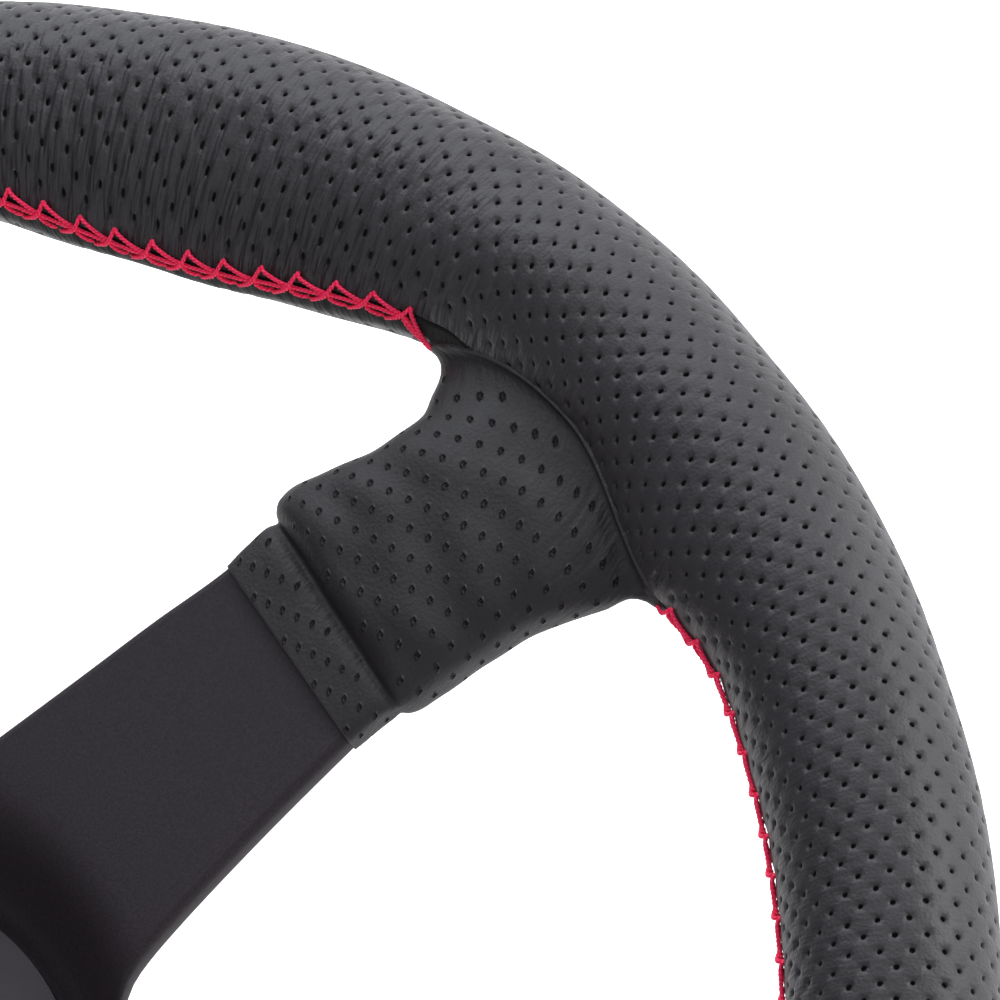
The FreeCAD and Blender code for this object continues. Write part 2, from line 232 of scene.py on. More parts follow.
# Noise scales of the fine stretch lines and of the coarser creases: along and across the strip
DRAWN = (620.0, 620.0, 190.0)
PULLED = (480.0, 480.0, 90.0)
# Noise scales of turning marks, and how much they show
TURNED = (60.0, 60.0, 3600.0)
TURNED_RELIEF = 0.08


def leather_material(name, dark, light, rough_low, rough_high, grain, fold_depth, specular):
    """Dyed leather: fine grain, stretch lines, painted shade in the holes, dents and seam lip, and pale raw
    edges.
    """
    n = Nodes(name)
    place = n.objects_at()
    strip = n.attribute("strip", "Vector")
    patches = n.noise(place, 55.0, 3.0)
    dyed = n.blend(patches, dark, light)
    # Painted shade: near-black colour in the grip's holes, the boot's dents and the back lip in the seam.
    shaded = n.blend(n.attribute("hollow_shade"), dyed, grey(0.006))
    edged = n.blend(n.attribute("raw"), shaded, (0.06, 0.057, 0.06, 1))
    pebbles = n.cells(place, grain)
    hairs = n.noise(place, 5200.0, 3.0, 0.6)
    drawn = n.noise(n.scaled(strip, DRAWN), 1.0, 3.0, 0.6)
    lines = n.maths("MULTIPLY", drawn, n.attribute("stretch"))
    grained = n.bump(pebbles, 0.35, 0.00012)
    haired = n.bump(hairs, 0.25, 0.00008, grained)
    lined = n.bump(lines, 0.75, 0.00040, haired)
    pulled = n.noise(n.scaled(strip, PULLED), 1.0, 2.0, 0.55)
    folds = n.maths("MULTIPLY", n.span(pulled, 0.0, 1.0, 0.38, 0.62), n.attribute("crease"))
    creased = n.bump(folds, 0.9, fold_depth, lined)
    n.set(Base_Color=edged, Normal=creased, Specular_IOR_Level=specular)
    worn = n.span(n.noise(place, 260.0, 3.0), rough_low, rough_high)
    # Roughness also rises with the same painted-shade mask.
    n.set(Roughness=n.maths("MAXIMUM", worn, n.attribute("hollow_shade")))
    return n.material


def thread_material():
    n = Nodes("red_thread")
    place = n.objects_at()
    fuzz = n.noise(place, 3800.0, 2.0, 0.7)
    body = n.blend(n.noise(place, 900.0), (0.84, 0.001, 0.060, 1), (0.98, 0.006, 0.105, 1))
    ply_highlight = n.attribute("ply_highlight")
    # Painted highlight: pale pink on the crests of the twisted plies.
    n.set(Base_Color=n.blend(ply_highlight, body, (1.0, 0.13, 0.20, 1)), Roughness=0.6)
    n.set(Normal=n.bump(fuzz, 0.5, 0.00012), Specular_IOR_Level=0.12)
    return n.material


def powder_coat_material():
    n = Nodes("matt_black_plate")
    place = n.objects_at()
    speck = n.noise(place, 2600.0, 2.0, 0.75)
    drift = n.noise(place, 40.0, 3.0)
    tone = n.blend(speck, (0.006, 0.004, 0.006, 1), (0.034, 0.027, 0.034, 1))
    n.set(Base_Color=tone, Roughness=n.span(drift, 0.46, 0.56))
    n.set(Normal=n.bump(speck, 0.22, 0.00009), Specular_IOR_Level=0.18)
    return n.material


def metal_material(name, colour, rough, metallic=1.0):
    """Machined or anodised metal with fine turning marks and a little wear."""
    n = Nodes(name)
    place = n.objects_at()
    turned = n.noise(n.scaled(place, TURNED), 1.0, 3.0, 0.6)
    wear = n.noise(place, 160.0, 4.0)
    pale = tuple(min(1.0, c * 1.35 + 0.004) for c in colour[:3]) + (1,)
    n.set(Base_Color=n.blend(wear, colour, pale), Metallic=metallic)
    n.set(Roughness=n.span(wear, rough, rough + 0.12))
    n.set(Normal=n.bump(turned, TURNED_RELIEF, 0.00005))
    return n.material


def moulded_material(name, colour, rough, pitch=1500.0, relief=0.15):
    n = Nodes(name)
    place = n.objects_at()
    skin = n.noise(place, pitch, 3.0, 0.6)
    lighter = tuple(min(1.0, c * 1.5 + 0.002) for c in colour[:3]) + (1,)
    n.set(Base_Color=n.blend(n.noise(place, 90.0), colour, lighter))
    n.set(Roughness=n.span(skin, rough, rough + 0.1))
    n.set(Normal=n.bump(skin, relief, 0.00006))
    return n.material


# ---------------------------------------------------------------- mesh helpers
def corner_normals(verts, faces):
    """Smooth normals of the vertices, weighted by face area."""
    total = np.zeros_like(verts)
    for block in faces:
        a, b, c = (verts[block[:, k]] for k in (0, 1, 2))
        flat = np.cross(b - a, c - a)
        if block.shape[1] > 3:
            flat = np.cross(c - a, verts[block[:, 3]] - b)
        for k in range(block.shape[1]):
            np.add.at(total, block[:, k], flat)
    return total / np.maximum(np.linalg.norm(total, axis=1, keepdims=True), 1e-12)


def make_piece(name, verts, faces, material, body, fields=None, normals=None):
    """A smooth-shaded mesh from arrays. faces is a list of (n, k) index blocks."""
    faces = [block for block in faces if len(block)]
    used = np.unique(np.concatenate([block.ravel() for block in faces]))
    renumber = np.full(len(verts), -1, int)
    renumber[used] = np.arange(len(used))
    mesh = bpy.data.meshes.new(name)
    loops = np.concatenate([renumber[block].ravel() for block in faces])
    sizes = np.concatenate([np.full(len(block), block.shape[1]) for block in faces])
    mesh.vertices.add(len(used))
    mesh.vertices.foreach_set("co", verts[used].astype(np.float32).ravel())
    mesh.loops.add(len(loops))
    mesh.loops.foreach_set("vertex_index", loops.astype(np.int32))
    mesh.polygons.add(len(sizes))
    starts = np.concatenate([[0], np.cumsum(sizes)[:-1]])
    mesh.polygons.foreach_set("loop_start", starts.astype(np.int32))
    mesh.polygons.foreach_set("loop_total", sizes.astype(np.int32))
    mesh.polygons.foreach_set("use_smooth", np.ones(len(sizes), bool))
    for key, values in (fields or {}).items():
        kind = "FLOAT_VECTOR" if values.ndim == 2 else "FLOAT"
        layer = mesh.attributes.new(key, kind, "POINT")
        prop = "vector" if values.ndim == 2 else "value"
        layer.data.foreach_set(prop, values[used].astype(np.float32).ravel())
    mesh.update()
    mesh.validate()
    if normals is not None:
        mesh.normals_split_custom_set_from_vertices(normals[used].astype(np.float32))
    piece = bpy.data.objects.new(name, mesh)
    bpy.context.scene.collection.objects.link(piece)
    mesh.materials.append(material)
    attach(piece, body)
    return piece


def joined(parts):
    """Joins (verts, faces, fields) triples into one."""
    verts, faces, fields, base = [], {}, {}, 0
    for points, blocks, extra in parts:
        verts.append(points)
        for block in blocks:
            faces.setdefault(block.shape[1], []).append(block + base)
        for key, values in extra.items():
            fields.setdefault(key, []).append(values)
        base += len(points)
    blocks = [np.concatenate(group) for group in faces.values()]
    return np.concatenate(verts), blocks, {k: np.concatenate(v) for k, v in fields.items()}


def unit(vectors):
    return vectors / np.maximum(np.linalg.norm(vectors, axis=-1, keepdims=True), 1e-12)


# ---------------------------------------------------------------- the grip's surface
def wrapped(angle):
    return (angle + math.pi) % TURN - math.pi


def rest(theta):
    """0 away from the thumb rests, 1 at the middle of one."""
    total = 0
    for centre in (REST_ANGLE, math.pi - REST_ANGLE):
        away = np.clip(np.abs(wrapped(theta - centre)) / REST_SPAN, 0, 1)
        total = total + 0.5 * (1 + np.cos(math.pi * away))
    return total


def corner(theta):
    """Swelling of the grip beside the boots, on the sides without a thumb rest."""
    total = 0
    for spoke, side in (("right", -1), ("left", 1), ("lower", -1), ("lower", 1)):
        centre = SPOKES[spoke] + side * CORNER_AT
        away = np.clip(np.abs(wrapped(theta - centre)) / CORNER_SPAN, 0, 1)
        total = total + 0.5 * (1 + np.cos(math.pi * away))
    return total


def grip_point(theta, psi, lift=0.0):
    """Point on the grip. psi is 0 at the outside, a quarter turn at the front."""
    swell = REST_BULGE * rest(theta) + CORNER_BULGE * corner(theta)
    inward = swell * np.clip(-np.cos(psi), 0, None) ** 1.5
    out, rise = np.cos(psi) / GRIP_W, np.sin(psi) / GRIP_D
    size = np.hypot(out, rise)
    radius = RIM_MID + GRIP_W * np.cos(psi) - inward + lift * out / size
    height = RIM_Z + GRIP_D * np.sin(psi) + lift * rise / size
    return np.stack([radius * np.cos(theta), radius * np.sin(theta), height], -1)


def seam_angle(theta):
    """The seam climbs towards the front above and below the side spokes."""
    angle = SEAM_ANGLE + SEAM_SAG * rest(theta) ** 2
    climbs = [(REST_ANGLE, SEAM_RISE), (math.pi - REST_ANGLE, SEAM_RISE),
              (-LIFT_ANGLE, SEAM_LIFT), (math.pi + LIFT_ANGLE, SEAM_LIFT)]
    for centre, rise in climbs:
        away = (np.abs(wrapped(theta - centre)) - SEAM_FLAT) / SEAM_FADE
        angle = angle - rise * 0.5 * (1 + np.cos(math.pi * np.clip(away, 0, 1)))
    return angle


def strip_angle(theta, share):
    """Section angle at a share of the leather's width, from the front lip round."""
    even = seam_angle(theta) - SEAM_GAP - share * (TURN - 2 * SEAM_GAP)
    squash = (GRIP_W ** 2 - GRIP_D ** 2) / (4 * (GRIP_W ** 2 + GRIP_D ** 2))
    return even + squash * np.sin(2 * even)


STRIP_WIDTH = TURN * GRIP_ROUND
STITCH_PITCH = 6.35 * MM
STITCHES = round(TURN * (RIM_MID - GRIP_W) / STITCH_PITCH)


def pucker(theta, share):
    """The leather swells between the stitches along both lips."""
    from_lip = np.minimum(share, 1 - share) * STRIP_WIDTH
    waves = 0.5 - 0.5 * np.cos(theta * STITCHES)
    return 0.22 * MM * waves * np.exp(-from_lip / (2.2 * MM))


SWELLS = [(NOISE.integers(3, 40), NOISE.integers(1, 6), NOISE.uniform(0, TURN)) for _ in range(14)]


def hand_wrap(theta, share):
    """Slow unevenness of the foam and the leather."""
    total = 0
    for around, across, phase in SWELLS:
        total = total + np.sin(around * theta + across * TURN * share + phase)
    return 0.035 * MM * total


def relief(theta, share):
    return pucker(theta, share) + hand_wrap(theta, share)


def leather_point(theta, share, lift=0.0):
    return grip_point(theta, strip_angle(theta, share), relief(theta, share) + lift)


# ---------------------------------------------------------------- perforated grip leather
COLUMNS = 444
ROWS = 39
HOLE_R = 0.48 * MM
HOLE_DEPTH = 0.75 * MM
LIP_DIP = 0.17 * MM
# The eight points round a cell's middle, in order
RING = [(0, 0), (1, 0), (2, 0), (2, 1), (2, 2), (1, 2), (0, 2), (0, 1)]


def strip_fields(theta, share, hollow_shade):
    across = share * STRIP_WIDTH
    strip = np.stack([RIM_MID * np.cos(theta), RIM_MID * np.sin(theta), across], -1)
    near_lip = np.exp(-np.minimum(share, 1 - share) * STRIP_WIDTH / (7 * MM))
    inner = np.clip(-np.cos(strip_angle(theta, share)), 0, 1) ** 2
    stretch = np.clip(0.25 + 0.9 * near_lip + 0.9 * inner * rest(theta), 0, 1.6)
    crease = np.exp(-(1 - share) * STRIP_WIDTH / (15 * MM)) + np.exp(-share * STRIP_WIDTH / (15 * MM))
    crease = crease * np.clip(0.12 + 1.1 * rest(theta), 0, 1)
    # Painted shade: the back lip, rolled down into the seam, is coloured near black.
    back_lip_shade = np.clip(1.8 - (1 - share) * STRIP_WIDTH / (3.6 * MM), 0, 1)
    return {"strip": strip, "hollow_shade": np.maximum(hollow_shade, 0.95 * back_lip_shade), "raw": np.zeros_like(hollow_shade),
            "stretch": stretch, "crease": crease}


def leather_net():
    """The whole grip as a net of square cells, half of them with a hole."""
    wide, tall = 2 * COLUMNS, 2 * ROWS + 1
    column, row = np.meshgrid(np.arange(wide), np.arange(tall), indexing="ij")
    theta = (column * TURN / wide).ravel()
    share = (row / (tall - 1)).ravel()
    net = leather_point(theta, share)
    fields = strip_fields(theta, share, np.zeros(len(theta)))

    def at(i, j):
        return (i % wide) * tall + j

    i, j = [a.ravel() for a in np.meshgrid(np.arange(COLUMNS), np.arange(ROWS), indexing="ij")]
    margin = (j == 0) | (j >= ROWS - 2)
    holed = ((i + j) % 2 == 0) & ~margin
    plain = ~holed
    quads = []
    for di, dj in ((0, 0), (1, 0), (1, 1), (0, 1)):
        a, b = 2 * i[plain] + di, 2 * j[plain] + dj
        quads.append(np.stack([at(a, b), at(a, b + 1), at(a + 1, b + 1), at(a + 1, b)], -1))
    frame_ring = np.stack([at(2 * i[holed] + di, 2 * j[holed] + dj) for di, dj in RING], -1)
    rings, ring_fields, blocks = hole_rings(i[holed], j[holed], len(net))
    lip, floor = blocks
    around = np.roll(np.arange(8), -1)
    for outer, inner in ((frame_ring, lip), (lip, floor)):
        for k in range(8):
            nxt = around[k]
            quads.append(np.stack([outer[:, k], inner[:, k], inner[:, nxt], outer[:, nxt]], -1))
    verts = np.concatenate([net, rings])
    merged = {key: np.concatenate([fields[key], ring_fields[key]]) for key in fields}
    return verts, [np.concatenate(quads), floor[:, ::-1]], merged


def hole_rings(i, j, base):
    """Lip and floor rings of every hole, a little uneven as punched and stretched."""
    count = len(i)
    theta = (i + 0.5) * TURN / COLUMNS
    share = (j + 0.5) / ROWS
    theta = theta + NOISE.normal(0, 0.06 * MM, count) / RIM_MID
    share = share + NOISE.normal(0, 0.06 * MM, count) / STRIP_WIDTH
    psi = strip_angle(theta, share)
    local = RIM_MID + GRIP_W * np.cos(psi)
    pull = 1 + 0.35 * rest(theta) * np.clip(-np.cos(psi), 0, 1)
    size = HOLE_R * NOISE.normal(1, 0.06, count)
    turn = np.array([math.atan2(dj - 1, di - 1) for di, dj in RING])
    points, fields = [], []
    # Painted shade: the hole's lip ring and floor are coloured darker, 0.15 and 0.9 of the near-black
    # shade.
    for shrink, depth, hollow_shade in ((1.0, LIP_DIP, 0.15), (0.86, HOLE_DEPTH, 0.9)):
        along = shrink * size[:, None] * np.cos(turn) / np.sqrt(pull[:, None])
        across = shrink * size[:, None] * np.sin(turn) * pull[:, None]
        t = theta[:, None] + along / local[:, None]
        s = share[:, None] + across / STRIP_WIDTH
        points.append(leather_point(t, s, -depth).reshape(-1, 3))
        fields.append(strip_fields(t.ravel(), s.ravel(), np.full(t.size, hollow_shade)))
    index = base + np.arange(2 * count * 8).reshape(2, count, 8)
    merged = {key: np.concatenate([f[key] for f in fields]) for key in fields[0]}
    return np.concatenate(points), merged, (index[0], index[1])


def lip_rolls():
    """Both edges of the leather, rolled down into the seam."""
    wide = 2 * COLUMNS
    theta = np.arange(wide) * TURN / wide
    parts = []
    for share, side in ((0.0, 1), (1.0, -1)):
        rows = []
        for slide, drop in ((0.0, 0.0), (0.35, 0.22), (0.6, 0.6), (0.65, 1.15)):
            psi = strip_angle(theta, share) + side * slide * MM / GRIP_ROUND
            lift = relief(theta, np.full(wide, share)) - drop * MM
            rows.append(grip_point(theta, psi, lift))
        verts = np.concatenate(rows)
        quads = []
        for k in range(len(rows) - 1):
            a = np.arange(wide) + k * wide
            b = np.roll(np.arange(wide), -1) + k * wide
            order = [a, b, b + wide, a + wide]
            quads.append(np.stack(order if side > 0 else order[::-1], -1))
        shares = np.full(len(verts), share)
        fields = strip_fields(np.tile(theta, len(rows)), shares, np.zeros(len(verts)))
        parts.append((verts, [np.concatenate(quads)], fields))
    return parts


def make_grip(material):
    verts, faces, fields = joined([leather_net()] + lip_rolls())
    normals = corner_normals(verts, faces)
    panels = {"top": (0, math.pi), "left": (math.pi, 1.5 * math.pi), "right": (1.5 * math.pi, TURN)}
    for name, (start, end) in panels.items():
        chosen = []
        for block in faces:
            middle = verts[block].mean(1)
            angle = np.arctan2(middle[:, 1], middle[:, 0]) % TURN
            chosen.append(block[(angle >= start) & (angle < end)])
        piece = make_piece("grip_leather_" + name, verts, chosen, material, "wheel",
                           fields, normals)
        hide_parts("rim_leather_" + name)


# ---------------------------------------------------------------- red seam
THREAD_R = 0.30 * MM
THREAD_SIDES = 8
THREAD_LOBES = 0.24
THREAD_STEP = 0.32 * MM
PLY_PITCH = 1.3 * MM
DIVE_END = math.radians(8.7)
DIVE_SPAN = math.radians(1.9)
DIVE = math.radians(22)
# Where each seam starts and stops round the rim, between the boots, in degrees
SEAM_STRETCHES = {"top": (8.9, 171.1), "left": (193.8, 261.4), "right": (278.6, 346.2)}


def seam_point(along, across, lift):
    """Point over the seam: along the rim, across it towards the front, and up.

    The ends of the top seam dive backwards under the boots' corners.
    """
    theta = along / (RIM_MID - GRIP_W)
    near = np.minimum(np.abs(wrapped(theta)), np.abs(wrapped(theta - math.pi)))
    dive = np.clip(1 - (near - DIVE_END) / DIVE_SPAN, 0, 1) * (np.sin(theta) > 0)
    return grip_point(theta, seam_angle(theta) + DIVE * dive ** 2 - across / GRIP_ROUND, lift)


def thread(points, phase=0.0):
    """A two-ply twisted thread along a polyline of (along, across, lift)."""
    points = np.array(points)
    knots = np.arange(len(points))
    fine = np.linspace(0, len(points) - 1, 12 * (len(points) - 1) + 1)
    smooth = np.stack([spline(knots, points[:, k], fine) for k in range(3)], -1)
    path = seam_point(smooth[:, 0], smooth[:, 1], smooth[:, 2])
    steps = np.concatenate([[0], np.cumsum(np.linalg.norm(np.diff(path, axis=0), axis=1))])
    count = max(6, int(steps[-1] / THREAD_STEP))
    at = np.linspace(0, steps[-1], count)
    path = np.stack([np.interp(at, steps, path[:, k]) for k in range(3)], -1)
    return tube(path, at, phase)


def spline(knots, values, at):
    """Cubic through the knots, with finite-difference slopes."""
    slope = np.gradient(values, knots)
    k = np.clip(np.searchsorted(knots, at, "right") - 1, 0, len(knots) - 2)
    gap = knots[k + 1] - knots[k]
    t = (at - knots[k]) / gap
    a, b = 2 * t ** 3 - 3 * t ** 2 + 1, t ** 3 - 2 * t ** 2 + t
    c, d = -2 * t ** 3 + 3 * t ** 2, t ** 3 - t ** 2
    return a * values[k] + b * gap * slope[k] + c * values[k + 1] + d * gap * slope[k + 1]


def tube(path, at, phase, radius=THREAD_R, sides=THREAD_SIDES, lobes=THREAD_LOBES,
         pitch=PLY_PITCH):
    """Tube whose section has two lobes that twist along it."""
    ahead = unit(np.gradient(path, axis=0))
    side = unit(np.cross(ahead, np.array([0.0, 0.0, 1.0]) + 1e-4))
    top = np.cross(side, ahead)
    turn = np.arange(sides) * TURN / sides
    twist = phase + at * TURN / pitch
    spread = np.cos(2 * (turn[None, :] - twist[:, None]))
    size = radius * (1 + lobes * spread)
    ring = (np.cos(turn)[None, :, None] * side[:, None, :]
            + np.sin(turn)[None, :, None] * top[:, None, :])
    verts = (path[:, None, :] + size[..., None] * ring).reshape(-1, 3)
    rows = np.arange(len(path) - 1)[:, None] * sides
    k = np.arange(sides)[None, :]
    nxt = (k + 1) % sides
    quads = np.stack([rows + k, rows + nxt, rows + sides + nxt, rows + sides + k], -1)
    caps = np.stack([np.arange(sides)[::-1], (len(path) - 1) * sides + np.arange(sides)])
    # Mask of the ply lobes' crests, which carries the thread's painted highlight.
    ply_highlight = np.clip(spread, 0, 1).ravel() ** 2
    return verts, [quads.reshape(-1, 4), caps], {"ply_highlight": ply_highlight}


def stitch(start, ahead, jitter):
    """One repeat of the seam: a tick across the knot and three runs from it."""
    def place(steps):
        return [(start + ahead * (s + jitter * 0.25) * MM, c * MM, h * MM) for s, c, h in steps]

    pitch = STITCH_PITCH / MM
    tick = [(-3.4, -1.7, -0.6), (-2.8, -1.5, 0.35), (-1.4, -0.7, 0.75), (-0.2, 0.0, 1.0),
            (0.5, 0.9, 0.85), (0.9, 1.7, 0.4), (1.0, 2.1, -0.6)]
    upper = [(1.1, 2.1, -0.6), (1.4, 1.9, 0.35), (2.8, 1.25, 0.5), (4.6, 0.6, 0.5), (pitch, 0.1, 0.3)]
    middle = [(0.1, 0.0, 0.3), (1.6, 0.15, 0.6), (3.2, 0.1, 0.6), (4.8, 0.0, 0.6), (pitch, -0.1, 0.35)]
    lower = [(-0.1, -0.1, 0.3), (0.8, -0.75, 0.5), (2.0, -1.1, 0.45), (2.7, -1.25, 0.3), (3.0, -1.35, -0.5)]
    return [thread(place(steps), phase) for phase, steps in enumerate((tick, upper, middle, lower))]


def make_seams(material):
    reach = RIM_MID - GRIP_W
    for name, (start, end) in SEAM_STRETCHES.items():
        low, high = math.radians(start) * reach, math.radians(end) * reach
        count = round((high - low) / STITCH_PITCH)
        stitches = []
        for k in range(count):
            stitches += stitch(high - (k + 0.4) * (high - low) / count, -1, random.uniform(-1, 1))
        verts, faces, fields = joined(stitches)
        piece = make_piece("seam_" + name, verts, faces, material, "wheel", fields)
        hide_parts("seam_thread_" + name)


# ---------------------------------------------------------------- leather boots
# Sections from the cut end to the rim, for the three o'clock spoke, in millimetres:
# upper side x and y, lower side x and y, half thickness, squareness, middle's lead
BOOT_SECTIONS = [
    (98.4, 17.3, 93.6, -17.3, 3.05, 5.0, 0.0),
    (102.5, 17.5, 97.4, -17.6, 3.25, 5.0, 0.0),
    (106.6, 17.4, 100.6, -17.9, 3.20, 4.6, 0.0),
    (107.9, 17.0, 101.8, -18.1, 2.75, 4.2, 0.0),
    (108.6, 18.0, 102.6, -18.8, 4.10, 3.6, 0.0),
    (109.6, 18.9, 103.9, -19.5, 5.40, 3.2, 0.2),
    (112.0, 19.3, 107.5, -20.2, 6.30, 3.0, 0.5),
    (118.0, 17.3, 114.0, -21.3, 6.75, 2.9, 1.0),
    (125.0, 14.6, 121.0, -22.8, 6.90, 2.8, 2.2),
    (131.0, 13.4, 127.0, -25.1, 6.80, 2.7, 4.4),
    (135.2, 14.6, 131.9, -28.4, 6.10, 2.5, 6.4),
]
# Hem lines on the grip: angles of the upper and lower corner, reach towards the
# front and back, lift off the leather, and extra lift at the corners
HEMS = (
    (7.9, -13.2, 25.5, 0.16, 1.4),
    (9.0, -14.5, 29.3, 0.20, 0.0),
    (9.1, -14.7, 29.9, -0.20, -0.3),
)
# Dimples along and round the boot, and net cells for each
BOOT_ALONG = 15
BOOT_AROUND = 27
FINE_ALONG = 9
FINE_AROUND = 8
TABLE_ALONG = 261
TABLE_AROUND = 721
BOOT_TWIST = -0.42
BOOT_HOLE_R = 0.24 * MM
CREASE_SHARE = (0.145, 0.215)
HEM_SHARE = 0.90


def boot_sections(name):
    """The section list for a spoke; the left one mirrors the right, the lower is even."""
    sections = [list(row) for row in BOOT_SECTIONS]
    if name == "lower":
        for row in sections:
            even_x, even_y = (row[0] + row[2]) / 2, (row[1] - row[3]) / 2
            row[0], row[1], row[2], row[3] = even_x, even_y, even_x, -even_y
    return sections


def hem_curve(name, hem, phi):
    """Closed line on the grip round the boot's end."""
    upper, lower, reach, lift, corner_lift = hem
    if name == "lower":
        upper = (upper - lower) / 2
        lower = -upper
    q = np.cos(phi)
    theta = np.radians((upper + lower) / 2 + (upper - lower) / 2 * q)
    skew = (q - 0.1) / np.where(q > 0.1, 0.9, 1.1)
    swing = np.radians(reach) * np.clip(np.cos(skew * math.pi / 2), 0, 1) ** 0.6
    psi = math.pi - np.sign(np.sin(phi)) * swing
    return grip_base(name, theta, psi, (lift + corner_lift * q ** 8) * MM)


def grip_base(name, theta, psi, lift):
    """Grip point turned back to the three o'clock spoke's own place."""
    if name == "right":
        return grip_point(theta, psi, lift)
    if name == "left":
        return grip_point(math.pi - theta, psi, lift) * np.array([-1, 1, 1])
    point = grip_point(theta - math.pi / 2, psi, lift)
    return np.stack([-point[..., 1], point[..., 0], point[..., 2]], -1)


def boot_lines(name, phi):
    """Control points of the boot for each angle round it: (sections, angles, 3)."""
    rows = []
    for x_up, y_up, x_low, y_low, half, square, lead in boot_sections(name):
        c, s = np.cos(phi), np.sin(phi)
        q = np.sign(c) * np.abs(c) ** (2 / square)
        z = np.sign(s) * np.abs(s) ** (2 / square)
        x = (x_up + x_low) / 2 + (x_up - x_low) / 2 * q + lead * (1 - q ** 2)
        y = (y_up + y_low) / 2 + (y_up - y_low) / 2 * q
        rows.append(np.stack([x * MM, y * MM, RIM_Z + half * MM * z], -1))
    return np.stack(rows + [hem_curve(name, hem, phi) for hem in HEMS])


def boot_surface(name):
    """Evenly spaced points along the boot and round it, and the boot's length."""
    dense_phi = np.linspace(0, TURN, TABLE_AROUND)
    lines = boot_lines(name, dense_phi)
    chord = np.linalg.norm(np.diff(lines, axis=0), axis=2).mean(1)
    knots = np.concatenate([[0], np.cumsum(chord)])
    along = np.linspace(0, knots[-1], TABLE_ALONG)
    sheet = np.stack([
        np.stack([spline(knots, lines[:, p, k], along) for k in range(3)], -1)
        for p in range(len(dense_phi))
    ], 1)
    girth = np.cumsum(np.linalg.norm(np.diff(sheet, axis=1), axis=2), axis=1)
    girth = np.concatenate([np.zeros((len(along), 1)), girth], 1)
    girth = girth / girth[:, -1:]
    even = np.linspace(0, 1, TABLE_AROUND)
    table = np.stack([
        np.stack([np.interp(even, girth[r], sheet[r, :, k]) for k in range(3)], -1)
        for r in range(len(along))
    ])
    return table, knots[-1]


def sample(table, u, v):
    """Bilinear lookup in the sheet; u is 0 to 1 along it, v wraps round it."""
    rows, cols = table.shape[0] - 1, table.shape[1] - 1
    a = np.clip(u, 0, 1) * rows
    b = (v % 1.0) * cols
    i, j = np.minimum(a.astype(int), rows - 1), np.minimum(b.astype(int), cols - 1)
    s, t = (a - i)[..., None], (b - j)[..., None]
    top = table[i, j] * (1 - t) + table[i, j + 1] * t
    bottom = table[i + 1, j] * (1 - t) + table[i + 1, j + 1] * t
    return top * (1 - s) + bottom * s


def sheet_normal(table, u, v):
    """Outward normals of the sheet."""
    step = 0.004
    along = sample(table, u + step, v) - sample(table, u - step, v)
    around = sample(table, u, v + step) - sample(table, u, v - step)
    return unit(np.cross(around, along))


def boot_fields(u, v, size, hollow_shade, raw):
    """Attributes of the boot's leather at shares u along it and v round it."""
    girth, length = size
    turn = TURN * v
    strip = np.stack([girth / TURN * np.cos(turn), girth / TURN * np.sin(turn), u * length], -1)
    stretch = 0.25 + 0.9 * np.clip((u - 0.75) / 0.25, 0, 1) + 0.5 * np.exp(-((u - 0.16) / 0.08) ** 2)
    crease = 0.4 * np.exp(-((v % 1 - 0.64) / 0.10) ** 2) * np.clip((u - 0.6) / 0.3, 0, 1)
    return {"strip": strip, "hollow_shade": np.full(u.shape, hollow_shade), "raw": raw.ravel(), "stretch": stretch,
            "crease": crease}


def dimple_centres(rows):
    """Net rows and columns of the dimples' middles, clear of the strap and the hem."""
    lattice = np.meshgrid(np.arange(BOOT_ALONG), np.arange(BOOT_AROUND), indexing="ij")
    i, j = [x.ravel() for x in lattice]
    centre_u = i * FINE_ALONG + FINE_ALONG // 3 * (j % 3) + 2
    centre_v = j * FINE_AROUND + FINE_AROUND // 2
    share = centre_u / (rows - 1)
    keep = (share < HEM_SHARE) & ((share < CREASE_SHARE[0]) | (share > CREASE_SHARE[1]))
    return centre_u[keep], centre_v[keep]


